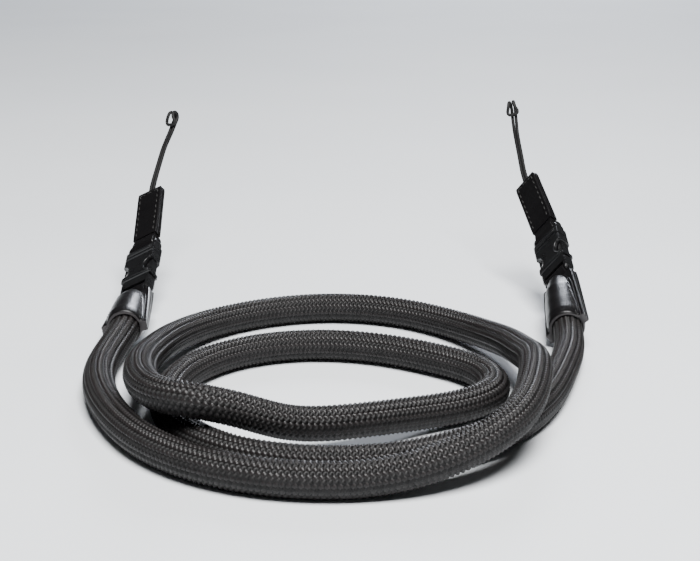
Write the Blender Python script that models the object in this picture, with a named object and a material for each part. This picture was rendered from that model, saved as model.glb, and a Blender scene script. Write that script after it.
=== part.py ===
"""Coiled camera strap: a braided rope of two and a half turns with two leather and buckle ends.

The rope lies in a loose coil on the floor. Each of its ends goes into a sewn leather sleeve.
The sleeve loops round the bar of a small side-release buckle, which is fastened. A leather tab
loops round the bar at the buckle's other end, and holds a loop of thin cord with a lark's head
hitch. Both ends rise from the floor: the stiff end of the rope, the sleeve and the tab hold
each of them up.

Frame: metres, +Z up, +Y away from the viewer. The origin is the middle of the strap's
footprint, on the floor.
"""

import math

import bmesh
import bpy
import numpy as np
from mathutils import Matrix, Vector

MM = 0.001

# Rope
ROPE_DIAMETER = 9.3 * MM        # across the flats of its twelve sides
ROPE_SIDES = 12
ROPE_POINTS = 78                # points that the tube keeps along its whole length
ROPE_IN_SLEEVE = 21.5 * MM      # stretch of rope that a sleeve hides
ROPE_PINCH = 0.78               # share of the diameter left at the end inside a sleeve
ROPE_HOLE_SIDES = 24

# Leather
LEATHER = 0.9 * MM              # one layer
CLEARANCE = 0.3 * MM            # between a piece and what it holds or goes round
SLEEVE_LENGTH = 32.0 * MM       # mouth to the socket's bar
SLEEVE_WIDTH = 14.0 * MM        # over both sewn edges
SLEEVE_EDGE = 3.0 * MM          # thickness of a sewn edge
LOOP_WIDTH = 8.4 * MM           # strip that goes round a bar
LOOP_NECK = 3.6 * MM            # bar to where the strip widens
NECK_THICKNESS = 2.4 * MM       # the strip's two layers where it widens
TAB_LENGTH = 26.3 * MM          # plug's bar to the tab's straight end
TAB_WIDTH = 9.8 * MM
TAB_THICKNESS = 2.6 * MM
LOOP_ROUND = 88.0               # degrees of the loop's round end, short of a sharp edge
LOOP_STEPS = 5
SECTION_POINTS = 28

# Buckle
BUCKLE_LENGTH = 24.5 * MM       # bar to bar
BUCKLE_WIDTH = 11.6 * MM
BUCKLE_THICKNESS = 5.0 * MM
PLATE_THICKNESS = 4.0 * MM      # the lower parts beside the bars
PLATE_INSET = 0.2 * MM          # how far each side of a plate lies inside the body's side
BAR_DIAMETER = 2.2 * MM
BAR_SIDES = 16
PLATE_LENGTH = 6.1 * MM         # socket's bar to the socket's thicker body
SOCKET_LENGTH = 17.5 * MM       # socket's bar to its open end
SHELL = 1.1 * MM                # walls of the socket
WINDOW_RADIUS = 3.2 * MM        # notch in each side of the socket
WINDOW_PLACE = 10.6 * MM        # socket's bar to the middle of the notch
WINDOW_OUT = 0.4 * MM           # middle of the notch outside the socket's side
WINDOW_SIDES = 20
SHOULDER_LENGTH = 3.2 * MM      # thick part of the plug, next to the socket
RIDGE_LENGTH = 1.8 * MM         # raised rib on the plug
RIDGE_HEIGHT = 0.5 * MM
RIDGE_INSET = 0.8 * MM          # from each side of the plug
PRONG_WIDTH = 1.5 * MM
TONGUE_WIDTH = 2.2 * MM
TONGUE_SHORTER = 1.2 * MM       # than the prongs
CORNER = 2.4 * MM               # rounding of the buckle's corners, seen from the front
SOFT_EDGE = 0.6 * MM            # rounding of its other edges
OVERLAP = 1.0 * MM              # how far joined solids and cuts run past where they meet

# Cord of the loops
CORD_DIAMETER = 1.2 * MM
CORD_IN_TAB = 7.0 * MM
CORD_LENGTH = 36.0 * MM         # tab's end to the hitch's collar
CORD_APART = 1.12               # middle to middle of its two strands, in diameters
CORD_BOW = 0.6 * MM             # how far the strands bow out of the face on their way
CORD_SIDES = 8
CORD_POINTS = 76

# Where the middle of the footprint lies, seen from the middle of the coil.
FOOTPRINT_MIDDLE = Vector((1.81, 41.18, 0.0)) * MM

# The rope's route between the two sleeves, from the left one to the right one, in millimetres
# from the middle of the coil: (across, away from the viewer, height of the rope's centre).
ROPE_ROUTE_MM = [
    (-66.0, 30.0, 5.3),
    (-66.9, 16.0, 4.65),
    (-64.6, -4.4, 4.65),
    (-57.9, -24.2, 4.65),
    (-47.1, -43.2, 4.65),
    (-31.7, -57.9, 4.65),
    (-12.0, -66.1, 4.65),
    (8.5, -66.7, 5.0),
    (28.8, -61.0, 8.3),
    (44.0, -48.0, 12.4),
    (51.0, -28.5, 14.6),
    (53.2, -7.0, 14.0),
    (52.4, 3.5, 12.0),
    (50.6, 15.0, 10.2),
    (45.4, 35.6, 6.6),
    (34.5, 53.5, 4.8),
    (18.0, 66.2, 4.65),
    (-2.5, 70.8, 4.65),
    (-22.5, 65.8, 4.65),
    (-39.2, 52.6, 5.0),
    (-48.7, 32.8, 6.8),
    (-52.2, 11.0, 9.4),
    (-52.3, -9.4, 12.2),
    (-49.3, -25.6, 13.6),
    (-42.6, -37.0, 14.5),
    (-33.0, -42.2, 14.7),
    (-22.8, -41.3, 12.0),
    (-12.1, -40.8, 8.9),
    (5.5, -36.2, 7.4),
    (23.0, -24.8, 5.3),
    (35.0, -17.0, 4.65),
    (42.8, -5.6, 4.65),
    (40.6, 8.0, 4.65),
    (30.0, 19.0, 4.65),
    (11.0, 29.9, 4.65),
    (-9.5, 32.6, 4.65),
    (-29.0, 25.0, 4.65),
    (-41.8, 8.0, 4.65),
    (-45.0, -12.5, 4.65),
    (-39.4, -33.6, 4.65),
    (-24.6, -50.4, 4.65),
    (-4.0, -57.2, 4.65),
    (16.5, -54.6, 4.65),
    (34.5, -43.6, 4.65),
    (48.8, -27.6, 4.65),
    (58.0, -8.0, 4.65),
    (64.0, 12.2, 4.65),
    (68.2, 30.5, 5.2),
]

# Each end's sleeve mouth, in millimetres as above, and the heading of its pieces in degrees:
# (turn to the right of +Y, rise above the floor, roll of the face to the left).
ENDS = {
    "left": {
        "mouth_mm": (-64.7, 41.7, 6.6),
        "sleeve": (-1.7, 3.0, 8.4),
        "buckle": (0.7, 23.3, 30.7),
        "tab": (-1.4, 31.5, 31.2),
        "cord": (7.0, 29.3, 32.0),
        "hitch": (12.0, 62.0, 22.0),
    },
    "right": {
        "mouth_mm": (69.3, 42.9, 6.6),
        "sleeve": (2.1, 13.1, 37.8),
        "buckle": (-2.9, 20.1, 54.7),
        "tab": (-13.7, 30.5, 63.3),
        "cord": (-3.3, 29.1, 55.0),
        "hitch": (-18.0, 62.0, 35.0),
    },
}

# Sections of the sleeve: (share of the way from the mouth to where the strip narrows,
# share of the width, share of the rope's swell).
SLEEVE_SECTIONS = [
    (0.00, 1.00, 1.00),
    (0.12, 0.99, 1.00),
    (0.40, 0.97, 0.92),
    (0.70, 0.95, 0.84),
    (0.88, 0.93, 0.66),
    (1.00, 0.90, 0.50),
]
# Sections of the tab: (share of the way from where the strip widens to the straight end,
# share of the width, share of the thickness).
TAB_SECTIONS = [
    (0.00, 0.96, 1.20),
    (0.18, 1.00, 1.05),
    (0.55, 1.00, 1.00),
    (0.96, 1.00, 1.00),
    (1.00, 0.97, 0.90),
]
# One half of the hitch's cord, in cord diameters from the middle of the hitch's eye:
# (across, along, out of the face).
HITCH_HALF = [
    (0.54, -3.2, -0.35),
    (0.54, -1.4, -0.95),
    (0.55, 0.0, -1.27),
    (0.58, 1.05, -0.72),
    (0.62, 1.28, 0.10),
    (0.70, 0.80, 1.00),
    (0.90, -0.20, 1.30),
    (1.30, -1.30, 1.10),
    (1.48, -2.20, 0.82),
    (1.05, -2.80, 0.80),
    (0.40, -2.95, 0.85),
]


def clear_scene():
    """Take away what the scene starts with."""
    for thing in list(bpy.data.objects):
        bpy.data.objects.remove(thing, do_unlink=True)


def new_collection(name):
    """Add a collection to the scene."""
    group = bpy.data.collections.new(name)
    bpy.context.scene.collection.children.link(group)
    return group


def finish(name, colour, roughness):
    """Make a Principled material for one piece."""
    made = bpy.data.materials.new(name)
    made.use_nodes = True
    shader = made.node_tree.nodes["Principled BSDF"]
    shader.inputs["Base Color"].default_value = (*colour, 1.0)
    shader.inputs["Roughness"].default_value = roughness
    shader.inputs["Metallic"].default_value = 0.0
    return made


def add_object(name, data, group, material=None):
    """Put a mesh or a curve into a collection."""
    thing = bpy.data.objects.new(name, data)
    group.objects.link(thing)
    if material:
        data.materials.append(material)
    return thing


def mesh_from(name, shape):
    """Turn a bmesh into a mesh with round faces smooth and edges sharp."""
    bmesh.ops.recalc_face_normals(shape, faces=shape.faces)
    mesh = bpy.data.meshes.new(name)
    shape.to_mesh(mesh)
    shape.free()
    mesh.shade_smooth()
    mesh.set_sharp_from_angle(angle=math.radians(35))
    return mesh


def heading(place, angles):
    """Frame at a place: X across the face, Y along the strap's end, Z out of the face."""
    turn, rise, roll = (math.radians(angle) for angle in angles)
    rotation = (Matrix.Rotation(-turn, 4, "Z") @ Matrix.Rotation(rise, 4, "X")
                @ Matrix.Rotation(-roll, 4, "Y"))
    return Matrix.Translation(place) @ rotation


def between(start, end, share):
    """Frame part of the way from one frame to another."""
    place = start.to_translation().lerp(end.to_translation(), share)
    turned = start.to_quaternion().slerp(end.to_quaternion(), share)
    return Matrix.Translation(place) @ turned.to_matrix().to_4x4()


def end_frames(end):
    """The frames of one end's mouth, bars, tab end and hitch."""
    mouth = Vector(end["mouth_mm"]) * MM - FOOTPRINT_MIDDLE
    frames = {"mouth": heading(mouth, end["sleeve"])}
    socket_bar = frames["mouth"] @ Vector((0, SLEEVE_LENGTH, 0))
    frames["socket_bar"] = heading(socket_bar, end["buckle"])
    plug_bar = frames["socket_bar"] @ Vector((0, BUCKLE_LENGTH, 0))
    frames["plug_bar"] = heading(plug_bar, end["buckle"])
    frames["tab"] = heading(plug_bar, end["tab"])
    tab_end = frames["tab"] @ Vector((0, TAB_LENGTH, 0))
    frames["tab_end"] = heading(tab_end, end["tab"])
    frames["cord"] = heading(tab_end, end["cord"])
    collar = frames["cord"] @ Vector((0, CORD_LENGTH, 0))
    frames["collar"] = heading(collar, end["hitch"])
    return frames


def smooth_route(route, count):
    """Even points on the natural cubic curve through a route's own points."""
    knots = np.array([tuple(point) for point in route])
    at = np.concatenate([[0.0], np.cumsum(np.linalg.norm(np.diff(knots, axis=0), axis=1))])
    gap = np.diff(at)
    system = np.eye(len(knots))
    pull = np.zeros_like(knots)
    for i in range(1, len(knots) - 1):
        system[i, i - 1:i + 2] = gap[i - 1], 2 * (gap[i - 1] + gap[i]), gap[i]
        pull[i] = 6 * ((knots[i + 1] - knots[i]) / gap[i] - (knots[i] - knots[i - 1]) / gap[i - 1])
    bend = np.linalg.solve(system, pull)
    fine = np.linspace(0.0, at[-1], 30 * len(knots))
    k = np.clip(np.searchsorted(at, fine, side="right") - 1, 0, len(gap) - 1)
    near = ((at[k + 1] - fine) / gap[k])[:, None]
    far = 1 - near
    span = (gap[k] ** 2)[:, None] / 6
    line = near * knots[k] + far * knots[k + 1]
    line += ((near ** 3 - near) * bend[k] + (far ** 3 - far) * bend[k + 1]) * span
    gone = np.concatenate([[0.0], np.cumsum(np.linalg.norm(np.diff(line, axis=0), axis=1))])
    even = np.linspace(0.0, gone[-1], count)
    return np.stack([np.interp(even, gone, line[:, axis]) for axis in range(3)], axis=1)


def tube(name, points, radii, sides, group, material=None):
    """A round tube along a line of points, with filled ends and a flat side down."""
    curve = bpy.data.curves.new(name, "CURVE")
    curve.dimensions = "3D"
    curve.twist_mode = "Z_UP"
    curve.bevel_depth = 1.0
    curve.bevel_resolution = sides // 2 - 2
    curve.use_fill_caps = True
    spline = curve.splines.new("POLY")
    spline.points.add(len(points) - 1)
    for point, place, radius in zip(spline.points, points, radii):
        point.co = (*place, 1.0)
        point.radius = radius
        point.tilt = math.pi / sides
    return add_object(name, curve, group, material)


def loft(name, rings, group, material=None):
    """A closed solid through rings that have as many points each."""
    shape = bmesh.new()
    loops = [[shape.verts.new(point) for point in ring] for ring in rings]
    for low, high in zip(loops, loops[1:]):
        for i in range(len(low)):
            j = (i + 1) % len(low)
            shape.faces.new((low[i], low[j], high[j], high[i]))
    shape.faces.new(loops[0])
    shape.faces.new(loops[-1])
    return add_object(name, mesh_from(name, shape), group, material)


def rounded_box(name, size, middle, corner, edge, group, material=None):
    """A box with round corners seen from the front, and softer edges all round."""
    shape = bmesh.new()
    place = Matrix.Translation(middle) @ Matrix.Diagonal((*size, 1.0))
    bmesh.ops.create_cube(shape, size=1.0, matrix=place)
    if corner:
        upright = [e for e in shape.edges if abs((e.verts[0].co - e.verts[1].co).z) > size[2] / 2]
        bmesh.ops.bevel(shape, geom=upright, offset=corner, segments=4, affect="EDGES", profile=0.5)
    if edge:
        flat = [e for e in shape.edges if abs((e.verts[0].co - e.verts[1].co).z) < size[2] / 2]
        bmesh.ops.bevel(shape, geom=flat, offset=edge, segments=2, affect="EDGES", profile=0.5)
    return add_object(name, mesh_from(name, shape), group, material)


def cylinder(name, radius, length, middle, axis, sides, group, far_radius=None):
    """A cylinder or cone along one of the frame's own axes."""
    turn = {"X": Matrix.Rotation(math.pi / 2, 4, "Y"), "Y": Matrix.Rotation(-math.pi / 2, 4, "X"),
            "Z": Matrix.Identity(4)}[axis]
    shape = bmesh.new()
    bmesh.ops.create_cone(shape, cap_ends=True, segments=sides, radius1=radius,
                          radius2=radius if far_radius is None else far_radius, depth=length,
                          matrix=Matrix.Translation(middle) @ turn)
    return add_object(name, mesh_from(name, shape), group)


def combine(piece, tool, operation, frame):
    """Join a tool at a frame to a piece, or cut it away, with an exact Boolean."""
    tool.matrix_world = frame
    tool.hide_render = True
    tool.display_type = "WIRE"
    change = piece.modifiers.new(tool.name, "BOOLEAN")
    change.object = tool
    change.operation = operation
    change.solver = "EXACT"


def strip_ring(half_width, half_edge, swell, frame):
    """One section of sewn leather: flat edges with a round swell between them."""
    half = SECTION_POINTS // 2
    upper = []
    for i in range(half):
        angle = math.pi * (i + 0.5) / half
        across = half_width * math.cos(angle)
        rounding = min(1.0, math.sin(angle) * half_width / half_edge)
        height = half_edge * math.sqrt(rounding)
        if swell > abs(across):
            height = max(height, math.sqrt(swell ** 2 - across ** 2))
        upper.append((across, height))
    outline = upper + [(-across, -height) for across, height in upper]
    return [frame @ Vector((across, 0, height)) for across, height in outline]


def loop_rings(frame, towards, neck_frame, neck_half, radius):
    """Rings of the narrow strip: from its neck to the round of the loop past a bar."""
    half_width = LOOP_WIDTH / 2
    rings = [strip_ring(half_width, neck_half, 0.0, neck_frame),
             strip_ring(half_width, (neck_half + radius) / 2, 0.0, between(neck_frame, frame, 0.5))]
    for i in range(LOOP_STEPS):
        angle = math.radians(LOOP_ROUND) * i / (LOOP_STEPS - 1)
        place = frame @ Matrix.Translation((0, towards * radius * math.sin(angle), 0))
        rings.append(strip_ring(half_width, radius * math.cos(angle), 0.0, place))
    return rings


def rope_line(frames):
    """The rope's points, from its end in the left sleeve to its end in the right one."""
    def inside(frame):
        return [frame @ Vector((0, along, 0)) for along in (ROPE_IN_SLEEVE, ROPE_IN_SLEEVE / 2, 0)]
    middle = [Vector(point) * MM - FOOTPRINT_MIDDLE for point in ROPE_ROUTE_MM]
    route = inside(frames["left"]["mouth"]) + middle + inside(frames["right"]["mouth"])[::-1]
    line = smooth_route(route, ROPE_POINTS)
    line[:, 2] = np.maximum(line[:, 2], ROPE_DIAMETER / 2)
    return line


def make_rope(frames, group, material):
    """The braided rope, pinched a little where it ends inside each sleeve."""
    points = rope_line(frames)
    steps = np.linalg.norm(np.diff(points, axis=0), axis=1)
    gone = np.concatenate([[0.0], np.cumsum(steps)])
    from_end = np.minimum(gone, gone[-1] - gone)
    corner_radius = ROPE_DIAMETER / 2 / math.cos(math.pi / ROPE_SIDES)
    share = ROPE_PINCH + (1 - ROPE_PINCH) * np.clip(from_end / ROPE_IN_SLEEVE, 0.0, 1.0)
    tube("rope", points, corner_radius * share, ROPE_SIDES, group, material)


def bar_hole(name, cutters):
    """The round hole that a loop of leather leaves for its bar."""
    return cylinder(name + "_bar_hole", BAR_DIAMETER / 2 + CLEARANCE, LOOP_WIDTH + 2 * OVERLAP, (0, 0, 0),
                    "X", BAR_SIDES, cutters)


def make_sleeve(side, frames, group, cutters, material):
    """Leather folded round the socket's bar and over the rope's end, sewn along both edges."""
    mouth, bar = frames["mouth"], frames["socket_bar"]
    hole = ROPE_DIAMETER / 2 / math.cos(math.pi / ROPE_SIDES) + CLEARANCE
    swell = hole + LEATHER
    loop_radius = BAR_DIAMETER / 2 + CLEARANCE + LEATHER
    shoulder = 1 - LOOP_NECK / SLEEVE_LENGTH
    rings = []
    for along, width, round_share in SLEEVE_SECTIONS:
        frame = between(mouth, bar, along * shoulder)
        rings.append(strip_ring(SLEEVE_WIDTH / 2 * width, SLEEVE_EDGE / 2, swell * round_share, frame))
    rings += loop_rings(bar, 1, between(mouth, bar, shoulder), NECK_THICKNESS / 2, loop_radius)
    name = "sleeve_" + side
    sleeve = loft(name, rings, group, material)
    depth = ROPE_IN_SLEEVE + CLEARANCE
    flare = (1 - ROPE_PINCH) * hole / ROPE_IN_SLEEVE
    bore = cylinder(name + "_rope_hole", hole + flare * OVERLAP, depth + OVERLAP,
                    (0, (depth - OVERLAP) / 2, 0), "Y", ROPE_HOLE_SIDES, cutters,
                    far_radius=hole - flare * depth)
    combine(sleeve, bore, "DIFFERENCE", mouth)
    combine(sleeve, bar_hole(name, cutters), "DIFFERENCE", bar)


def make_tab(side, frames, group, cutters, material):
    """Leather folded round the plug's bar, sewn along both edges over the cord's ends."""
    bar, end = frames["plug_bar"], frames["tab_end"]
    loop_radius = BAR_DIAMETER / 2 + CLEARANCE + LEATHER
    neck = LOOP_NECK / TAB_LENGTH
    rings = loop_rings(bar, -1, between(bar, end, neck), NECK_THICKNESS / 2, loop_radius)[::-1]
    for along, width, thick in TAB_SECTIONS:
        frame = between(bar, end, neck + (1 - neck) * along)
        rings.append(strip_ring(TAB_WIDTH / 2 * width, TAB_THICKNESS / 2 * thick, 0.0, frame))
    name = "tab_" + side
    tab = loft(name, rings, group, material)
    combine(tab, bar_hole(name, cutters), "DIFFERENCE", bar)
    slot_size = ((1 + CORD_APART) * CORD_DIAMETER + 2 * CLEARANCE, 2 * (CORD_IN_TAB + CLEARANCE),
                 CORD_DIAMETER + CLEARANCE)
    combine(tab, rounded_box(name + "_cord_slot", slot_size, (0, 0, 0), 0, 0, cutters), "DIFFERENCE", end)


def bar_tools(name, body_side, cutters):
    """Cut the plate away round a bar, and set the round bar across the opening."""
    slot_end = BAR_DIAMETER / 2 + LEATHER + 2 * CLEARANCE
    length = slot_end + BAR_DIAMETER
    opening = rounded_box(name + "_slot", (LOOP_WIDTH + 2 * CLEARANCE, length, 2 * BUCKLE_THICKNESS),
                          (0, body_side * (slot_end - length / 2), 0), 0, 0, cutters)
    bar = cylinder(name + "_bar", BAR_DIAMETER / 2, LOOP_WIDTH + 2 * (CLEARANCE + OVERLAP), (0, 0, 0),
                   "X", BAR_SIDES, cutters)
    return [(opening, "DIFFERENCE"), (bar, "UNION")]


def make_socket(side, frames, group, cutters, material):
    """The buckle's female half: a hollow body with a notch each side, and a bar below a slot."""
    frame = frames["socket_bar"]
    name = "buckle_socket_" + side
    body_length = SOCKET_LENGTH - PLATE_LENGTH
    socket = rounded_box(name, (BUCKLE_WIDTH, body_length, BUCKLE_THICKNESS),
                         (0, PLATE_LENGTH + body_length / 2, 0), 0, SOFT_EDGE, group, material)
    low = -BAR_DIAMETER / 2
    plate_length = PLATE_LENGTH + OVERLAP - low
    plate = rounded_box(name + "_plate", (BUCKLE_WIDTH - 2 * PLATE_INSET, plate_length, PLATE_THICKNESS),
                        (0, low + plate_length / 2, 0), CORNER, SOFT_EDGE, cutters)
    tools = [(plate, "UNION")]
    tools += bar_tools(name, 1, cutters)
    cavity_low = PLATE_LENGTH + SHELL
    cavity_length = SOCKET_LENGTH - cavity_low + OVERLAP
    cavity = rounded_box(name + "_cavity",
                         (BUCKLE_WIDTH - 2 * SHELL, cavity_length, BUCKLE_THICKNESS - 2 * SHELL),
                         (0, cavity_low + cavity_length / 2, 0), 0, 0, cutters)
    tools.append((cavity, "DIFFERENCE"))
    for hand in (-1, 1):
        window = cylinder(name + "_window", WINDOW_RADIUS, 2 * BUCKLE_THICKNESS,
                          (hand * (BUCKLE_WIDTH / 2 + WINDOW_OUT), WINDOW_PLACE, 0), "Z", WINDOW_SIDES,
                          cutters)
        tools.append((window, "DIFFERENCE"))
    for tool, operation in tools:
        combine(socket, tool, operation, frame)
    socket.matrix_world = frame


def make_plug(side, frames, group, cutters, material):
    """The buckle's male half: two sprung prongs, a tongue, a ribbed body, and a bar."""
    frame = frames["plug_bar"]
    name = "buckle_plug_" + side
    start = SOCKET_LENGTH + CLEARANCE - BUCKLE_LENGTH
    high = BAR_DIAMETER / 2
    length = high - start
    plug = rounded_box(name, (BUCKLE_WIDTH - 2 * PLATE_INSET, length, PLATE_THICKNESS),
                       (0, start + length / 2, 0), CORNER, SOFT_EDGE, group, material)
    shoulder = rounded_box(name + "_shoulder", (BUCKLE_WIDTH, SHOULDER_LENGTH, BUCKLE_THICKNESS),
                           (0, start + SHOULDER_LENGTH / 2, 0), 0, SOFT_EDGE, cutters)
    ridge = rounded_box(name + "_ridge",
                        (BUCKLE_WIDTH - 2 * RIDGE_INSET, RIDGE_LENGTH, BUCKLE_THICKNESS + 2 * RIDGE_HEIGHT),
                        (0, start + SHOULDER_LENGTH / 2, 0), 0, RIDGE_HEIGHT * 0.7, cutters)
    inner_half = BUCKLE_WIDTH / 2 - SHELL - CLEARANCE
    inner_thick = BUCKLE_THICKNESS - 2 * SHELL - 2 * CLEARANCE
    tip = PLATE_LENGTH + SHELL + CLEARANCE - BUCKLE_LENGTH
    reach = start - tip + OVERLAP
    tongue = rounded_box(name + "_tongue", (TONGUE_WIDTH, reach - TONGUE_SHORTER, inner_thick),
                         (0, tip + (reach + TONGUE_SHORTER) / 2, 0), 0, 0, cutters)
    tools = [(shoulder, "UNION"), (ridge, "UNION"), (tongue, "UNION")]
    window_at = WINDOW_PLACE - BUCKLE_LENGTH
    for hand in (-1, 1):
        prong = rounded_box(name + "_prong", (PRONG_WIDTH, reach, inner_thick),
                            (hand * (inner_half - PRONG_WIDTH / 2), tip + reach / 2, 0), 0, 0, cutters)
        button = cylinder(name + "_button", WINDOW_RADIUS - 2 * CLEARANCE, inner_thick + 2 * CLEARANCE,
                          (hand * (BUCKLE_WIDTH / 2 + WINDOW_OUT), window_at, 0), "Z", WINDOW_SIDES,
                          cutters)
        trim = rounded_box(name + "_trim", (BUCKLE_WIDTH, 3 * WINDOW_RADIUS, 2 * BUCKLE_THICKNESS),
                           (hand * (BUCKLE_WIDTH - CLEARANCE), window_at, 0), 0, 0, cutters)
        tools += [(prong, "UNION"), (button, "UNION"), (trim, "DIFFERENCE")]
    tools += bar_tools(name, -1, cutters)
    for tool, operation in tools:
        combine(plug, tool, operation, frame)
    plug.matrix_world = frame


def strand(frames, hand):
    """One side of a string loop: out of the tab, up to the hitch, and round its half of it."""
    across = hand * CORD_APART / 2 * CORD_DIAMETER
    drop = min(along for _, along, _ in HITCH_HALF)
    eye = frames["collar"] @ Matrix.Translation((0, -drop * CORD_DIAMETER, 0))
    line = [frames["tab_end"] @ Vector((across, along, 0)) for along in (-CORD_IN_TAB, -CORD_IN_TAB / 2, 0)]
    line += [frames["cord"] @ Vector((across, CORD_LENGTH * share, CORD_BOW)) for share in (0.35, 0.65)]
    return line + [eye @ (Vector((hand * x, y, z)) * CORD_DIAMETER) for x, y, z in HITCH_HALF]


def make_string_loop(side, frames, group, material):
    """A loop of thin cord, both ends in the tab, tied in a lark's head hitch."""
    points = smooth_route(strand(frames, 1) + strand(frames, -1)[::-1], CORD_POINTS)
    tube("string_loop_" + side, points, [CORD_DIAMETER / 2] * CORD_POINTS, CORD_SIDES, group, material)


def main():
    """Build the strap."""
    clear_scene()
    strap = new_collection("coiled_camera_strap")
    cutters = new_collection("cutters")
    braid = finish("black_braid", (0.014, 0.013, 0.013), 0.55)
    leather = finish("black_leather", (0.012, 0.012, 0.013), 0.32)
    plastic = finish("black_acetal", (0.016, 0.016, 0.017), 0.4)
    cord = finish("black_cord", (0.018, 0.018, 0.017), 0.6)
    frames = {side: end_frames(end) for side, end in ENDS.items()}
    make_rope(frames, strap, braid)
    for side in ENDS:
        make_sleeve(side, frames[side], strap, cutters, leather)
        make_socket(side, frames[side], strap, cutters, plastic)
        make_plug(side, frames[side], strap, cutters, plastic)
        make_tab(side, frames[side], strap, cutters, leather)
        make_string_loop(side, frames[side], strap, cord)


main()
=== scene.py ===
# %% [markdown]
# # A braided rope strap, coiled on a table
#
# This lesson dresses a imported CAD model: a neck strap, about a metre of braided rope in a loose
# coil of two and a half turns. Each end of the rope goes into a sewn leather sleeve, then come a
# small side-release buckle, a leather tab and a loop of thin string. The CAD model says where
# each piece is and how big it is, and the lesson gives it the surface of the real one.

import math

import bmesh
import bpy
import numpy as np
from mathutils import Matrix, Vector


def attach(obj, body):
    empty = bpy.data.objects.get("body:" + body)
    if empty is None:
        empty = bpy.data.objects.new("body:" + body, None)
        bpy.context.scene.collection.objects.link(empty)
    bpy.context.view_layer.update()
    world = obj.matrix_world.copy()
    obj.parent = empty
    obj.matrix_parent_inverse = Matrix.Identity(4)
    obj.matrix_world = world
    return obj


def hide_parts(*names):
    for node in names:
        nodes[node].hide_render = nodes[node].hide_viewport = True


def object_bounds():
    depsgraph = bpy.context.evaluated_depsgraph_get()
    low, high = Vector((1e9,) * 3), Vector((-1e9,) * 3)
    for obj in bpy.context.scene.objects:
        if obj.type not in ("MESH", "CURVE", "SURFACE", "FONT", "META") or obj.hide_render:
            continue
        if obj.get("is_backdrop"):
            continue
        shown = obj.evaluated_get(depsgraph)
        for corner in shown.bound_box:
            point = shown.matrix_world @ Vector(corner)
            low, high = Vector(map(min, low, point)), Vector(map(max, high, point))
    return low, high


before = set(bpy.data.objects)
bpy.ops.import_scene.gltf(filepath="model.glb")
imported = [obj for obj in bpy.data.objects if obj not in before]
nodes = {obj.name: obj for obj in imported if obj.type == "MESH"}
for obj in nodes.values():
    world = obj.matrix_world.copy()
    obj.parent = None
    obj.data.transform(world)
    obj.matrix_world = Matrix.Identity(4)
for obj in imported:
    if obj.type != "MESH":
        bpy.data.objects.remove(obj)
cad_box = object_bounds()
MM = 0.001


def in_mm(place):
    """A place in metres as rounded millimetres, for printing."""
    return [round(value / MM, 1) for value in place]


print("CAD nodes:", sorted(nodes))
print("CAD box in mm:", [in_mm(corner) for corner in cad_box])

# %% [markdown]
# ## Small helpers
#
# Colours are written as hex values, and Blender's shaders work in linear light, so one function
# turns the first into the second. Another adds a node to a shader tree or a Geometry Nodes tree,
# with its settings, values and links in one call.

# %% Helpers for colours, nodes and objects
def colour(text):
    """A hex sRGB colour as linear red, green, blue and alpha."""
    channels = [int(text[i:i + 2], 16) / 255 for i in (1, 3, 5)]
    return [c / 12.92 if c <= 0.04045 else ((c + 0.055) / 1.055) ** 2.4 for c in channels] + [1.0]


def add(tree, kind, settings=None, inputs=None):
    """Add a node. An input's value is a plain value, or another node's output to link."""
    made = tree.nodes.new(kind)
    for name, value in (settings or {}).items():
        setattr(made, name, value)
    for key, value in (inputs or {}).items():
        if isinstance(value, bpy.types.NodeSocket):
            tree.links.new(value, made.inputs[key])
        else:
            made.inputs[key].default_value = value
    return made


def new_object(name, data):
    """An object for some data, linked to the scene."""
    made = bpy.data.objects.new(name, data)
    bpy.context.scene.collection.objects.link(made)
    return made


def add_piece(name, mesh, *materials):
    """Put a finished mesh into the scene, at the origin, riding with the strap."""
    piece = new_object(name, mesh)
    for material in materials:
        mesh.materials.append(material)
    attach(piece, "root")
    return piece


def mesh_of(name, points, faces, uvs=None):
    """A smooth mesh with outward normals, and a UV for each point where they are given."""
    mesh = bpy.data.meshes.new(name)
    mesh.from_pydata([tuple(point) for point in points], [], faces)
    shape = bmesh.new()
    shape.from_mesh(mesh)
    if uvs is not None:
        layer = shape.loops.layers.uv.new("UVMap")
        shape.verts.ensure_lookup_table()
        for face in shape.faces:
            for loop in face.loops:
                loop[layer].uv = uvs[loop.vert.index]
    bmesh.ops.recalc_face_normals(shape, faces=shape.faces)
    shape.to_mesh(mesh)
    shape.free()
    mesh.shade_smooth()
    return mesh


def loft(name, rings):
    """A closed mesh over rings of points."""
    count, corners = len(rings), len(rings[0])
    faces = [(r * corners + c, r * corners + (c + 1) % corners,
              (r + 1) * corners + (c + 1) % corners, (r + 1) * corners + c)
             for r in range(count - 1) for c in range(corners)]
    faces += [tuple(range(corners)), tuple(range((count - 1) * corners, count * corners))]
    return mesh_of(name, [point for ring in rings for point in ring], faces)


print("yarn black #161516 is linear", [round(value, 4) for value in colour("#161516")[:3]])

# %% [markdown]
# ## The camera
#
# The photograph was taken from a little above the table. Its straight ribs and the round coil
# give the pitch, height and focal length. The rope's route is measured from the middle of the
# coil, and the model's origin is the middle of the whole footprint, so one constant takes the
# first to the second.

# %% Camera
FOOTPRINT_MIDDLE = Vector((1.81, 41.18, 0.0)) * MM
PHOTO_WIDTH, FOCAL_PX, SENSOR = 700, 1500, 36.0
CAMERA_PLACE = Vector((7.0, -390.0, 145.0)) * MM
CAMERA_PITCH, CAMERA_YAW = math.radians(15.908), math.radians(0.463)

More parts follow.
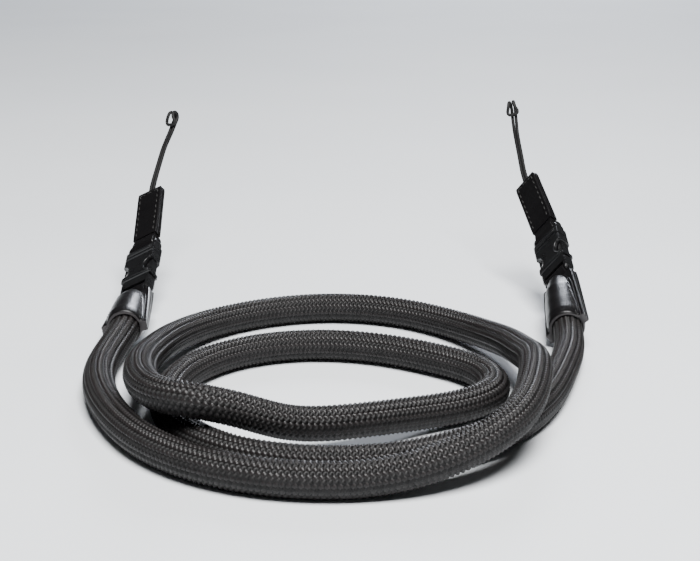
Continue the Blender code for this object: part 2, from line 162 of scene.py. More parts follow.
lens = bpy.data.cameras.new("camera")
lens.sensor_width = SENSOR
lens.lens = SENSOR * FOCAL_PX / PHOTO_WIDTH
lens.clip_start = 10 * MM
camera = new_object("camera", lens)
camera.location = CAMERA_PLACE - FOOTPRINT_MIDDLE
camera.rotation_euler = (math.pi / 2 - CAMERA_PITCH, 0.0, CAMERA_YAW)
bpy.context.scene.camera = camera
print("lens %.1f mm, camera at" % lens.lens, in_mm(camera.location), "mm")

# %% [markdown]
# ## The rope's path
#
# A rope is a fixed length of something limp, so its path comes first. The points are the CAD
# model's own, in metres from the middle of the coil, and the rope lies on the table wherever its
# height is half its own thickness. A natural cubic curve through them has no kinks, and even
# samples of it give a line for a tube or a braid to follow.

# %% Route of the rope and headings of its two ends
ROPE_DIAMETER = 9.3 * MM
LAID = ROPE_DIAMETER / 2
ROPE_IN_SLEEVE = 21.5 * MM
SLEEVE_LENGTH, BUCKLE_LENGTH, TAB_LENGTH, CORD_LENGTH = 32.0 * MM, 24.5 * MM, 26.3 * MM, 36.0 * MM
ROPE_ROUTE = [
    (-0.066, 0.03, 0.0053), (-0.0669, 0.016, LAID), (-0.0646, -0.0044, LAID),
    (-0.0579, -0.0242, LAID), (-0.0471, -0.0432, LAID), (-0.0317, -0.0579, LAID),
    (-0.012, -0.0661, LAID), (0.0085, -0.0667, 0.005), (0.0288, -0.061, 0.0083),
    (0.044, -0.048, 0.0124), (0.051, -0.0285, 0.0146), (0.0532, -0.007, 0.014),
    (0.0524, 0.0035, 0.012), (0.0506, 0.015, 0.0102), (0.0454, 0.0356, 0.0066),
    (0.0345, 0.0535, 0.0048), (0.018, 0.0662, LAID), (-0.0025, 0.0708, LAID),
    (-0.0225, 0.0658, LAID), (-0.0392, 0.0526, 0.005), (-0.0487, 0.0328, 0.0068),
    (-0.0522, 0.011, 0.0094), (-0.0523, -0.0094, 0.0122), (-0.0493, -0.0256, 0.0136),
    (-0.0426, -0.037, 0.0145), (-0.033, -0.0422, 0.0147), (-0.0228, -0.0413, 0.012),
    (-0.0121, -0.0408, 0.0089), (0.0055, -0.0362, 0.0074), (0.023, -0.0248, 0.0053),
    (0.035, -0.017, LAID), (0.0428, -0.0056, LAID), (0.0406, 0.008, LAID),
    (0.03, 0.019, LAID), (0.011, 0.0299, LAID), (-0.0095, 0.0326, LAID),
    (-0.029, 0.025, LAID), (-0.0418, 0.008, LAID), (-0.045, -0.0125, LAID),
    (-0.0394, -0.0336, LAID), (-0.0246, -0.0504, LAID), (-0.004, -0.0572, LAID),
    (0.0165, -0.0546, LAID), (0.0345, -0.0436, LAID), (0.0488, -0.0276, LAID),
    (0.058, -0.008, LAID), (0.064, 0.0122, LAID), (0.0682, 0.0305, 0.0052),
]
ENDS = {
    "left": {
        "mouth": (-0.0647, 0.0417, 0.0066), "sleeve": (-1.7, 3.0, 8.4), "buckle": (0.7, 23.3, 30.7),
        "tab": (-1.4, 31.5, 31.2), "cord": (7.0, 29.3, 32.0), "hitch": (12.0, 62.0, 22.0),
    },
    "right": {
        "mouth": (0.0693, 0.0429, 0.0066), "sleeve": (2.1, 13.1, 37.8),
        "buckle": (-2.9, 20.1, 54.7), "tab": (-13.7, 30.5, 63.3), "cord": (-3.3, 29.1, 55.0),
        "hitch": (-18.0, 62.0, 35.0),
    },
}


def heading(place, angles):
    """Frame at a place: X across the face, Y along the strap's end, Z out of the face."""
    turn, rise, roll = (math.radians(angle) for angle in angles)
    return (Matrix.Translation(place) @ Matrix.Rotation(-turn, 4, "Z")
            @ Matrix.Rotation(rise, 4, "X") @ Matrix.Rotation(-roll, 4, "Y"))


def end_frames(end):
    """The frames of one end's mouth, bars, tab end, cord and hitch."""
    made = {"mouth": heading(Vector(end["mouth"]) - FOOTPRINT_MIDDLE, end["sleeve"])}
    made["socket_bar"] = heading(made["mouth"] @ Vector((0, SLEEVE_LENGTH, 0)), end["buckle"])
    made["plug_bar"] = heading(made["socket_bar"] @ Vector((0, BUCKLE_LENGTH, 0)), end["buckle"])
    tab_end = heading(made["plug_bar"].to_translation(), end["tab"]) @ Vector((0, TAB_LENGTH, 0))
    made["tab_end"] = heading(tab_end, end["tab"])
    made["cord"] = heading(tab_end, end["cord"])
    made["collar"] = heading(made["cord"] @ Vector((0, CORD_LENGTH, 0)), end["hitch"])
    return made


FRAMES = {side: end_frames(end) for side, end in ENDS.items()}
for side, made in FRAMES.items():
    print(side, "sleeve mouth at", in_mm(made["mouth"].to_translation()), "mm")

# %% A smooth curve through a route's points
FINE_STEPS, ROPE_STEPS = 30, 500


def way_along(line):
    """How far along a line each of its points lies."""
    return np.concatenate([[0.0], np.cumsum(np.linalg.norm(np.diff(line, axis=0), axis=1))])


def smooth_route(route, count):
    """Even points on the natural cubic curve through a route's own points."""
    knots = np.array([tuple(point) for point in route])
    at = way_along(knots)
    gap = np.diff(at)
    system, pull = np.eye(len(knots)), np.zeros_like(knots)
    for i in range(1, len(knots) - 1):
        system[i, i - 1:i + 2] = gap[i - 1], 2 * (gap[i - 1] + gap[i]), gap[i]
        pull[i] = 6 * ((knots[i + 1] - knots[i]) / gap[i] - (knots[i] - knots[i - 1]) / gap[i - 1])
    bend = np.linalg.solve(system, pull)
    fine = np.linspace(0.0, at[-1], FINE_STEPS * len(knots))
    k = np.clip(np.searchsorted(at, fine, side="right") - 1, 0, len(gap) - 1)
    near = ((at[k + 1] - fine) / gap[k])[:, None]
    far = 1 - near
    line = near * knots[k] + far * knots[k + 1]
    bow = (near ** 3 - near) * bend[k] + (far ** 3 - far) * bend[k + 1]
    line += bow * (gap[k] ** 2)[:, None] / 6
    gone = way_along(line)
    even = np.linspace(0.0, gone[-1], count)
    return np.stack([np.interp(even, gone, line[:, axis]) for axis in range(3)], axis=1)


def length_of(line):
    """The length of a line of points."""
    return float(np.linalg.norm(np.diff(line, axis=0), axis=1).sum())


def inside_sleeve(mouth):
    """The rope's last stretch, straight into a sleeve."""
    return [mouth @ Vector((0, along, 0)) for along in (ROPE_IN_SLEEVE, ROPE_IN_SLEEVE / 2, 0)]


rope_route = inside_sleeve(FRAMES["left"]["mouth"])
rope_route += [Vector(point) - FOOTPRINT_MIDDLE for point in ROPE_ROUTE]
rope_route += inside_sleeve(FRAMES["right"]["mouth"])[::-1]
rope_line = smooth_route(rope_route, ROPE_STEPS)
rope_line[:, 2] = np.maximum(rope_line[:, 2], LAID)
print("rope: %.0f mm long" % (length_of(rope_line) / MM))

# %% [markdown]
# ## The yarn's finish
#
# The rope's cover is braided from bundles of smooth, nearly black polyester filaments, so each
# bundle has a long soft glint where it turns over its neighbour. The two lays lean opposite ways,
# so one catches the light where the other stays dull, and the rope has bands along it. To show
# them, the tone that each bundle carries is painted light: the left lay's bundles are lighter, as
# painted highlight, and the right lay's darker, as painted shade, with a small random spread in
# each. A real filament is far too thin to show, so the bump has only a few lines to a bundle.

# %% Materials of the rope, and the steps that every material shares
def new_material(name, text, roughness, more=None):
    """A Principled material with its tree and its shader; more holds other values by name."""
    made = bpy.data.materials.new(name)
    made.use_nodes = True
    shader = made.node_tree.nodes["Principled BSDF"]
    for key, value in {"Base Color": colour(text), "Roughness": roughness, **(more or {})}.items():
        shader.inputs[key].default_value = value
    return made, made.node_tree, shader


def coords_of(tree):
    """The object's own coordinates."""
    return add(tree, "ShaderNodeTexCoord").outputs["Object"]


def noise(tree, scale, detail=2.0):
    """A soft random pattern over the object's coordinates."""
    return add(tree, "ShaderNodeTexNoise", inputs={
        "Vector": coords_of(tree), "Scale": scale, "Detail": detail}).outputs["Fac"]


def tinted(tree, shader, amount, dark, light):
    """Lead a pattern's value through a two-colour ramp into the base colour."""
    ramp = add(tree, "ShaderNodeValToRGB", inputs={"Fac": amount})
    for stop, text in zip(ramp.color_ramp.elements, (dark, light)):
        stop.color = colour(text)
    tree.links.new(ramp.outputs["Color"], shader.inputs["Base Color"])


def roughened(tree, shader, amount, low, high):
    """Let a pattern's value set the roughness, from low to high."""
    spread = add(tree, "ShaderNodeMapRange",
                 inputs={"Value": amount, "To Min": low, "To Max": high})
    tree.links.new(spread.outputs["Result"], shader.inputs["Roughness"])


def bumped(tree, shader, height, strength, distance, over=None):
    """Make a relief from a pattern's value, over another relief if there is one."""
    values = {"Height": height, "Strength": strength, "Distance": distance}
    if over is not None:
        values["Normal"] = over
    relief = add(tree, "ShaderNodeBump", inputs=values).outputs["Normal"]
    tree.links.new(relief, shader.inputs["Normal"])
    return relief


yarn, tree, shader = new_material("filament_polyester_yarn", "#161516", 0.4,
                                  {"IOR": 1.38, "Anisotropic": 0.8})
across = add(tree, "ShaderNodeTangent", {"direction_type": "UV_MAP", "uv_map": "UVMap"})
tree.links.new(across.outputs["Tangent"], shader.inputs["Tangent"])
# Each float's tone picks its colour from the ramp below: the left lay's tones lie at the light end
# as painted highlight, the right lay's at the dark end as painted shade, and within a lay the tone
# differs at random.
tone = add(tree, "ShaderNodeAttribute", {"attribute_name": "yarn_tone"}).outputs["Fac"]
tinted(tree, shader, tone, "#0c0b0b", "#211e1e")
roughened(tree, shader, tone, 0.6, 0.36)
along = add(tree, "ShaderNodeUVMap", {"uv_map": "UVMap"})
filaments = add(tree, "ShaderNodeTexWave", {"bands_direction": "X", "wave_profile": "SIN"},
                {"Vector": along.outputs["UV"], "Scale": 1.3, "Distortion": 0.6, "Detail": 1.0})
bumped(tree, shader, filaments.outputs["Fac"], 0.35, 0.08 * MM)

# The core is coloured darker and duller than the yarn, as painted shade for the valleys between the
# floats.
core_dark, tree, shader = new_material("rope_core_between_yarns", "#0d0c0d", 0.8)
tinted(tree, shader, noise(tree, 1800.0), "#070707", "#151415")
print("made", yarn.name, "and", core_dark.name)

# %% [markdown]
# ## The rope's core
#
# The core is a plain dark tube that shows only as the valleys between the yarns. A ring of points
# is carried along the line without twisting: each ring's sideways direction is the last one's,
# turned as little as the line itself turns.

# %% Tube along a line
def frames_along(line):
    """Tangent, sideways and upward unit vectors at each point, carried along without twist."""
    tangent = np.gradient(line, axis=0)
    tangent /= np.linalg.norm(tangent, axis=1)[:, None]
    side = np.cross(tangent[0], (0.0, 0.0, 1.0))
    sides = []
    for t in tangent:
        side = side - t * np.dot(side, t)
        side = side / np.linalg.norm(side)
        sides.append(side)
    sides = np.array(sides)
    return tangent, sides, np.cross(sides, tangent)


def tube_mesh(name, line, radii, corners):
    """A tube along a line; radii has one value for each point, or one for each ring's corner."""
    _, side, up = frames_along(line)
    turn = 2 * np.pi * np.arange(corners) / corners
    radii = np.broadcast_to(np.asarray(radii).reshape(len(line), -1), (len(line), corners))
    around = (np.cos(turn)[None, :, None] * side[:, None]
              + np.sin(turn)[None, :, None] * up[:, None])
    return loft(name, line[:, None] + radii[..., None] * around)


ROPE_PINCH, CORE_RADIUS, CORE_CORNERS = 0.78, 4.08 * MM, 24
steps = np.linspace(0.0, length_of(rope_line), len(rope_line))
from_end = np.minimum(steps, steps[-1] - steps)
rope_share = ROPE_PINCH + (1 - ROPE_PINCH) * np.clip(from_end / ROPE_IN_SLEEVE, 0.0, 1.0)
core_mesh = tube_mesh("rope_core", rope_line, CORE_RADIUS * rope_share, CORE_CORNERS)
rope = add_piece("rope_core", core_mesh, core_dark)
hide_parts("rope")
print("rope core: %d faces" % len(rope.data.polygons))

# %% [markdown]
# ## The braid
#
# Each yarn goes over two others and under two, so what shows is rows of short slanting floats,
# and neighbouring rows slant opposite ways. One float is modelled, and Geometry Nodes put it on
# the rope some sixteen thousand times: every point of the rope's line is copied once for each row
# round the rope, moved out to the surface, and turned to lean with its row. Floats bunch up on
# the inside of a bend, so each one is as long as the way to the next one in its row.

# %% One float of yarn
FLOAT_LENGTH, FLOAT_WIDTH, FLOAT_HEIGHT, FLOAT_SUNK = 1.7 * MM, 1.8 * MM, 0.86 * MM, 0.35
FLOAT_STATIONS = ((-0.5, 0.4, 0.0), (-0.3, 0.85, 0.68), (0.0, 1.0, 1.0),
                  (0.3, 0.85, 0.68), (0.5, 0.4, 0.0))


def yarn_float():
    """A slightly domed lens of yarn: across X, along Y, and rising along Z."""
    points, uvs = [], []
    for along_share, width, height in FLOAT_STATIONS:
        for across in (-0.5, 0.0, 0.5):
            crown = 0.0 if across else 1.0
            points.append((across * width * FLOAT_WIDTH, along_share * FLOAT_LENGTH,
                           (height * crown - FLOAT_SUNK) * FLOAT_HEIGHT))
            uvs.append((across + 0.5, along_share + 0.5))
    faces = [(a, a + 1, a + 4, a + 3) for i in range(len(FLOAT_STATIONS) - 1)
             for a in (3 * i, 3 * i + 1)]
    return mesh_of("yarn_float", points, faces, uvs)


float_source = new_object("yarn_float", yarn_float())
float_source.data.materials.append(yarn)
print("one float: %d faces" % len(float_source.data.polygons))

# %% Geometry Nodes: steps that both trees share
def new_tree(name, sockets):
    """A tree with named inputs, and what its input node gives out."""
    tree = bpy.data.node_groups.new(name, "GeometryNodeTree")
    face = tree.interface
    for label, kind in (("Geometry", "Geometry"), *sockets.items()):
        face.new_socket(label, in_out="INPUT", socket_type="NodeSocket" + kind)
    face.new_socket("Geometry", in_out="OUTPUT", socket_type="NodeSocketGeometry")
    return tree, add(tree, "NodeGroupInput").outputs


def stored(tree, name, kind="FLOAT_VECTOR"):
    """What each point carries under a name."""
    made = add(tree, "GeometryNodeInputNamedAttribute", {"data_type": kind}, {"Name": name})
    return made.outputs["Attribute"]


def maths(tree, operation, *values):
    """One operation on numbers."""
    made = add(tree, "ShaderNodeMath", {"operation": operation}, dict(enumerate(values)))
    return made.outputs[0]


def scaled(tree, vector, by):
    """A vector times a number."""
    made = add(tree, "ShaderNodeVectorMath", {"operation": "SCALE"}, {0: vector, "Scale": by})
    return made.outputs[0]


def chance(tree, low, high, seed):
    """A random number from low to high, for each point or instance."""
    made = add(tree, "FunctionNodeRandomValue", {"data_type": "FLOAT"},
               {2: low, 3: high, "Seed": seed})
    return made.outputs[1]


def turned_to(tree, out, way, turn):
    """A rotation with Z along out and Y along way, then turned about its own Z."""
    upright = add(tree, "FunctionNodeAlignRotationToVector", {"axis": "Z"}, {"Vector": out})
    level = add(tree, "FunctionNodeAlignRotationToVector", {"axis": "Y", "pivot_axis": "Z"},
                {"Rotation": upright.outputs[0], "Vector": way})
    about = add(tree, "ShaderNodeCombineXYZ", inputs={"Z": turn})
    return add(tree, "FunctionNodeRotateRotation", {"rotation_space": "LOCAL"},
               {"Rotation": level.outputs[0], "Rotate By": about.outputs[0]}).outputs[0]


def set_on(tree, points, thing, more):
    """An object's mesh on each point; more holds its rotation, and its scale if it has one."""
    source = add(tree, "GeometryNodeObjectInfo", inputs={"Object": thing}).outputs["Geometry"]
    return add(tree, "GeometryNodeInstanceOnPoints",
               inputs={"Points": points, "Instance": source, **more}).outputs[0]


def end_tree(tree, instances, material):
    """Make the instances real, give them their material, and lead them out."""
    real = add(tree, "GeometryNodeRealizeInstances", inputs={"Geometry": instances})
    painted = add(tree, "GeometryNodeSetMaterial",
                  inputs={"Geometry": real.outputs[0], "Material": material})
    add(tree, "NodeGroupOutput", inputs={"Geometry": painted.outputs[0]})
    return tree


def point_mesh(name, points, **fields):
    """A mesh of bare points that carry one number or one vector each under every field's name."""
    mesh = bpy.data.meshes.new(name)
    mesh.from_pydata([tuple(point) for point in points], [], [])
    for label, values in fields.items():
        kind, part = ("FLOAT_VECTOR", "vector") if values.ndim == 2 else ("FLOAT", "value")
        mesh.attributes.new(label, kind, "POINT").data.foreach_set(part, values.ravel())
    return mesh


def baked(thing):
    """The smooth mesh that an object's modifiers make; the object itself goes."""
    graph = bpy.context.evaluated_depsgraph_get()
    made = bpy.data.meshes.new_from_object(thing.evaluated_get(graph), depsgraph=graph)
    bpy.data.objects.remove(thing, do_unlink=True)
    made.shade_smooth()
    return made


def run_nodes(name, mesh, tree, given):
    """Evaluate a tree on a mesh with named inputs, and return the result as a plain mesh."""
    holder = new_object(name, mesh)
    change = holder.modifiers.new("nodes", "NODES")
    change.node_group = tree
    sockets = {item.name: item.identifier for item in tree.interface.items_tree
               if item.in_out == "INPUT"}
    for label, value in given.items():
        change[sockets[label]] = value
    made = baked(holder)
    made.name = name
    return made


print("the steps for Geometry Nodes are ready")

# %% Geometry Nodes: floats round and along a line
LEAST_STRETCH, MOST_STRETCH = 0.55, 1.5


def braid_tree():
    """Tree that copies each point of a line round it, with a slanting float on each copy."""
    tree, given = new_tree("braid", {
        "Float": "Object", "Columns round": "Int", "Radius": "Float", "Lean": "Float",
        "Start turn": "Float", "Half step": "Float", "Pitch": "Float", "Tone low": "Float",
        "Tone high": "Float", "Seed": "Int", "Material": "Material"})
    way, up, thickness = stored(tree, "way"), stored(tree, "out"), stored(tree, "share", "FLOAT")
    copies = add(tree, "GeometryNodeDuplicateElements", {"domain": "POINT"},
                 {"Geometry": given["Geometry"], "Amount": given["Columns round"]})
    share = maths(tree, "DIVIDE", copies.outputs["Duplicate Index"], given["Columns round"])
    angle = maths(tree, "MULTIPLY_ADD", share, 2 * math.pi, given["Start turn"])
    outward = add(tree, "ShaderNodeVectorRotate", {"rotation_type": "AXIS_ANGLE"},
                  {"Vector": up, "Axis": way, "Angle": angle}).outputs["Vector"]
    away = scaled(tree, outward, maths(tree, "MULTIPLY", given["Radius"], thickness))
    shift = add(tree, "ShaderNodeVectorMath", {"operation": "ADD"},
                {0: away, 1: scaled(tree, way, given["Half step"])})
    placed = add(tree, "GeometryNodeSetPosition",
                 inputs={"Geometry": copies.outputs["Geometry"], "Offset": shift.outputs[0]})
    index = add(tree, "GeometryNodeInputIndex").outputs[0]
    place = add(tree, "GeometryNodeInputPosition").outputs[0]
    next_place = add(tree, "GeometryNodeFieldAtIndex",
                     {"data_type": "FLOAT_VECTOR", "domain": "POINT"},
                     {"Index": maths(tree, "ADD", index, given["Columns round"]), "Value": place})
    distance = add(tree, "ShaderNodeVectorMath", {"operation": "DISTANCE"},
                   {0: place, 1: next_place.outputs[0]}).outputs["Value"]
    held = add(tree, "ShaderNodeClamp",
               inputs={"Value": maths(tree, "DIVIDE", distance, given["Pitch"]),
                       "Min": LEAST_STRETCH, "Max": MOST_STRETCH})
    size = add(tree, "ShaderNodeCombineXYZ",
               inputs={"X": thickness, "Y": held.outputs[0], "Z": 1.0})
    floats = set_on(tree, placed.outputs[0], given["Float"],
                    {"Rotation": turned_to(tree, outward, way, given["Lean"]),
                     "Scale": size.outputs[0]})
    # A random tone in the given range; the two lays' ranges hold painted highlight and painted
    # shade.
    tone = chance(tree, given["Tone low"], given["Tone high"], given["Seed"])
    toned = add(tree, "GeometryNodeStoreNamedAttribute",
                {"data_type": "FLOAT", "domain": "INSTANCE"},
                {"Geometry": floats, "Name": "yarn_tone", "Value": tone})
    return end_tree(tree, toned.outputs[0], given["Material"])


BRAID = braid_tree()
print("braid tree: %d nodes" % len(BRAID.nodes))

# %% Cover the rope with both lays of yarn
COLUMNS, FLOAT_PITCH, LEAN, BRAID_SEED = 24, 1.42 * MM, math.radians(38), 3
# The tone ranges make the left lay's floats lighter, as painted highlight, and the right lay's
# darker, as painted shade.
LAYS = (("left_lay", LEAN, 0.0, 0.65, 1.0), ("right_lay", -LEAN, 1.0, 0.0, 0.35))

rows = round(length_of(rope_line) / FLOAT_PITCH)
row_line = smooth_route(rope_line, rows)
row_share = np.interp(np.linspace(0, 1, rows), np.linspace(0, 1, len(rope_share)), rope_share)
row_way, _, row_up = frames_along(row_line)
lays = []
for name, lean, start, low, high in LAYS:
    spots = point_mesh(name, row_line, way=row_way, out=row_up, share=row_share)
    braid = run_nodes("rope_yarn_" + name, spots, BRAID, {
        "Float": float_source, "Columns round": COLUMNS // 2, "Radius": CORE_RADIUS,
        "Lean": lean, "Start turn": start * 2 * math.pi / COLUMNS,
        "Half step": start * FLOAT_PITCH / 2, "Pitch": FLOAT_PITCH, "Tone low": low,
        "Tone high": high, "Seed": BRAID_SEED, "Material": yarn})
    lays.append(add_piece("rope_yarn_" + name, braid))
    print(lays[-1].name, len(braid.polygons), "faces")
bpy.data.objects.remove(float_source, do_unlink=True)

for lay in lays:
    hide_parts("rope")
print("declared %.3f m of rope, %.1f mm thick" % (length_of(rope_line), ROPE_DIAMETER / MM))

# %% [markdown]
# ## Leather
#
# The sleeves and tabs are smooth black calf leather with a thin coat. It has soft highlights and
# a very fine grain. Its cut edges are lighter and duller, partly because the fibre shows there and
# partly as a painted highlight for the thin light line along each edge. The grain of calf is about
# 0.3 mm across, one pixel here, so it is drawn at 0.6 mm.

# %% Material: coated black calf leather
GRAIN_SCALE, HANDLED_SCALE, CLOUD_SCALE = 1650.0, 260.0, 110.0


def leather_material(name, text, light, roughness, depth, more=None):
    """Leather with a cellular grain, slow waves from handling, and slight colour changes."""
    made, tree, shader = new_material(name, text, roughness, more)
    cells = add(tree, "ShaderNodeTexVoronoi", {"feature": "SMOOTH_F1"},
                {"Vector": coords_of(tree), "Scale": GRAIN_SCALE})
    waves = noise(tree, HANDLED_SCALE, 3.0)
    tinted(tree, shader, noise(tree, CLOUD_SCALE), text, light)
    roughened(tree, shader, waves, roughness - 0.06, roughness + 0.1)
    grain = bumped(tree, shader, cells.outputs["Distance"], 0.3, depth)
    bumped(tree, shader, waves, 0.4, 3 * depth, grain)
    return made


leather = leather_material("coated_black_calf_leather", "#0b0a0b", "#131213", 0.3, 0.1 * MM,
                           {"IOR": 1.3, "Coat Weight": 0.04, "Coat Roughness": 0.2})
# The cut edge is lighter than the leather: partly the fibre's own colour, partly a painted
# highlight for the light line along each edge.
cut_edge = leather_material("cut_leather_edge", "#2f2d2e", "#434041", 0.6, 0.12 * MM)
print("made", leather.name, "and", cut_edge.name)

# %% [markdown]
# ## The sleeves
#
# Each sleeve is a strip of leather folded round the buckle's bar and sewn to itself along both
# edges, with the rope's end in between. So its section is flat at the edges, where three layers
# show as ridges, and swells over the rope. The rings below run from deep inside the mouth, round
# its lip, along the sleeve and round the bar, and the hole for the bar is cut last.

# %% Section of sewn leather
LEATHER, CLEARANCE = 0.9 * MM, 0.3 * MM
BAR_DIAMETER, BUCKLE_WIDTH = 2.2 * MM, 11.6 * MM
LOOP_WIDTH, LOOP_NECK, NECK_THICKNESS = 8.4 * MM, 3.6 * MM, 2.4 * MM
LOOP_RADIUS = BAR_DIAMETER / 2 + CLEARANCE + LEATHER
CORNER_ROUND, RIDGE_DIP, SWELL_POWER = 0.22 * MM, 0.16 * MM, 6


def between(start, end, share):
    """Frame part of the way from one frame to another."""
    place = start.to_translation().lerp(end.to_translation(), share)
    turned = start.to_quaternion().slerp(end.to_quaternion(), share)
    return Matrix.Translation(place) @ turned.to_matrix().to_4x4()


def top_height(across, half_edge, swell):
    """Height of the upper leather above the middle plane: flat edges, and a swell over the rope."""
    rope_top = math.sqrt(max(swell ** 2 - across ** 2, 0.0))
    return (half_edge ** SWELL_POWER + rope_top ** SWELL_POWER) ** (1 / SWELL_POWER)


def section(half_width, half_edge, swell, layers, over=26, beside=9):
    """Outline of a section, anticlockwise from the lower right corner, with ridged edges."""
    round_off = min(CORNER_ROUND, half_edge / 3)
    outline = []
    for i in range(beside):
        share = i / (beside - 1)
        height = (2 * share - 1) * (half_edge - round_off)
        dip = RIDGE_DIP * abs(math.cos(math.pi * share * layers)) if 0 < i < beside - 1 else 0.0
        outline.append((half_width - dip, height))
    for i in range(over):
        across = (half_width - round_off) * math.cos(math.pi * i / (over - 1))
        outline.append((across, top_height(across, half_edge, swell)))
    return outline + [(-across, -height) for across, height in outline]


def ring_at(place, outline):
    """A section's points, set at a place."""
    return [place @ Vector((across, 0, height)) for across, height in outline]


print("a section has %d points" % len(section(LOOP_WIDTH / 2, LOOP_RADIUS, 0.0, 3)))

# %% Sleeves
SLEEVE_WIDTH, SLEEVE_EDGE, SLEEVE_LAYERS = 14.0 * MM, 3.0 * MM, 3
ROPE_HOLE_SIDES, MOUTH_GAP = 12, 0.05 * MM
MOUTH_RINGS, LIP_SHARES = (8.0 * MM, 0.2 * MM), (0.2, 0.85)
SWELL = ROPE_DIAMETER / 2 / math.cos(math.pi / ROPE_HOLE_SIDES) + CLEARANCE + LEATHER
SHOULDER = 1 - LOOP_NECK / SLEEVE_LENGTH
MOUTH_HOLE = ROPE_DIAMETER / 2 + MOUTH_GAP
SLEEVE_STATIONS = np.concatenate([[0.008], np.linspace(0.03, 1.0, 30)])
SLEEVE_SHAPE = ((0.0, 0.04, 0.12, 0.40, 0.70, 0.88, 1.0), (0.99, 1.0, 0.99, 0.97, 0.95, 0.93, 0.90),
                (0.87, 0.91, 0.96, 0.92, 0.84, 0.66, 0.50))
LOOP_STEPS, LOOP_SWEEP = 8, math.radians(88)
DRILL_SIDES, SHARP_ANGLE = 24, math.radians(40)


def sleeve_size(along):
    """Half width and swell of a sleeve, part of the way from its mouth to its neck."""
    width = np.interp(along, SLEEVE_SHAPE[0], SLEEVE_SHAPE[1])
    return SLEEVE_WIDTH / 2 * width, SWELL * np.interp(along, SLEEVE_SHAPE[0], SLEEVE_SHAPE[2])


def loop_rings(place, towards, neck_place, layers):
    """Rings of the narrow strip: from its neck to its round end past a bar."""
    half = LOOP_WIDTH / 2
    neck_half = NECK_THICKNESS / 2
    rings = [ring_at(neck_place, section(half, neck_half, 0.0, layers)),
             ring_at(between(neck_place, place, 0.5),
                     section(half, (neck_half + LOOP_RADIUS) / 2, 0.0, layers))]
    for i in range(LOOP_STEPS + 1):
        angle = LOOP_SWEEP * i / LOOP_STEPS
        moved = place @ Matrix.Translation((0, towards * LOOP_RADIUS * math.sin(angle), 0))
        half_thick = LOOP_RADIUS * math.cos(angle)
        rings.append(ring_at(moved, section(half, half_thick, 0.0, layers)))
    return rings


def cut_bar_hole(mesh, place):
    """Cut the round hole for a bar, and return the mesh that is left."""
    shape = bmesh.new()
    radius = BAR_DIAMETER / 2 + CLEARANCE
    bmesh.ops.create_cone(shape, cap_ends=True, segments=DRILL_SIDES, radius1=radius,
                          radius2=radius, depth=2 * BUCKLE_WIDTH,
                          matrix=place @ Matrix.Rotation(math.pi / 2, 4, "Y"))
    drill_mesh = bpy.data.meshes.new("drill")
    shape.to_mesh(drill_mesh)
    shape.free()
    drill, blank = new_object("drill", drill_mesh), new_object("blank", mesh)
    change = blank.modifiers.new("hole", "BOOLEAN")
    change.object, change.operation, change.solver = drill, "DIFFERENCE", "EXACT"
    made = baked(blank)
    bpy.data.objects.remove(drill, do_unlink=True)
    made.set_sharp_from_angle(angle=SHARP_ANGLE)
    return made


def sleeve_mesh(name, mouth, bar):
    """The leather from deep in the mouth, round the lip, along the sleeve and round the bar."""
    half_width, swell = sleeve_size(0.0)
    lip = section(half_width, SLEEVE_EDGE / 2, swell, SLEEVE_LAYERS)
    bore = [(MOUTH_HOLE * math.cos(a), MOUTH_HOLE * math.sin(a)) for a in
            (math.atan2(height, across) for across, height in lip)]
    rings = [ring_at(mouth @ Matrix.Translation((0, inside, 0)), bore) for inside in MOUTH_RINGS]
    for share in LIP_SHARES:
        mixed = [tuple(np.array(inner) * (1 - share) + np.array(outer) * share)
                 for inner, outer in zip(bore, lip)]
        rings.append(ring_at(mouth, mixed))
    for along in SLEEVE_STATIONS:
        half_width, swell = sleeve_size(along)
        outline = section(half_width, SLEEVE_EDGE / 2, swell, SLEEVE_LAYERS)
        rings.append(ring_at(between(mouth, bar, along * SHOULDER), outline))
    rings += loop_rings(bar, 1, between(mouth, bar, SHOULDER), SLEEVE_LAYERS)
    corners = len(lip)
    mesh = loft(name, rings)
    for material in (leather, cut_edge):
        mesh.materials.append(material)
    # The mouth's lip takes the cut edge's lighter colour, which is partly a painted highlight.
    for face in mesh.polygons[corners:4 * corners]:
        face.material_index = 1
    return mesh


for side, made in FRAMES.items():
    blank = sleeve_mesh("sleeve_" + side, made["mouth"], made["socket_bar"])
    sleeve = add_piece("leather_sleeve_" + side, cut_bar_hole(blank, made["socket_bar"]))
    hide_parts("sleeve_" + side)
    print(sleeve.name, len(sleeve.data.polygons), "faces")

# %% [markdown]
# ## The face piece of a sleeve
#
# A second piece of leather is sewn over the front of each sleeve, with a round top just below
# the buckle. Its cut edge catches the light as a thin line all round. It is a grid of points that
# follows the sleeve's surface, narrows to the round top and has a rounded border.

# %% Face pieces
FACE_THICKNESS, FACE_SUNK, FACE_INSET, BORDER_SHARE = 0.55 * MM, 0.05 * MM, 0.9 * MM, 0.55
ROUND_TOP, FACE_FROM, FACE_SPAN = 0.30, 0.004, 0.992


def face_point(mouth, bar, along, share, lift):
    """A point of the face piece: along the sleeve, part of its half width, above the leather."""
    half_width, swell = sleeve_size(along)
    top = max((along - (1 - ROUND_TOP)) / ROUND_TOP, 0.0)
    across = (half_width - FACE_INSET) * math.sqrt(max(1 - top ** 2, 0.0)) * share
    height = top_height(across, SLEEVE_EDGE / 2, swell)
    return between(mouth, bar, along * SHOULDER) @ Vector((across, 0, height + lift))


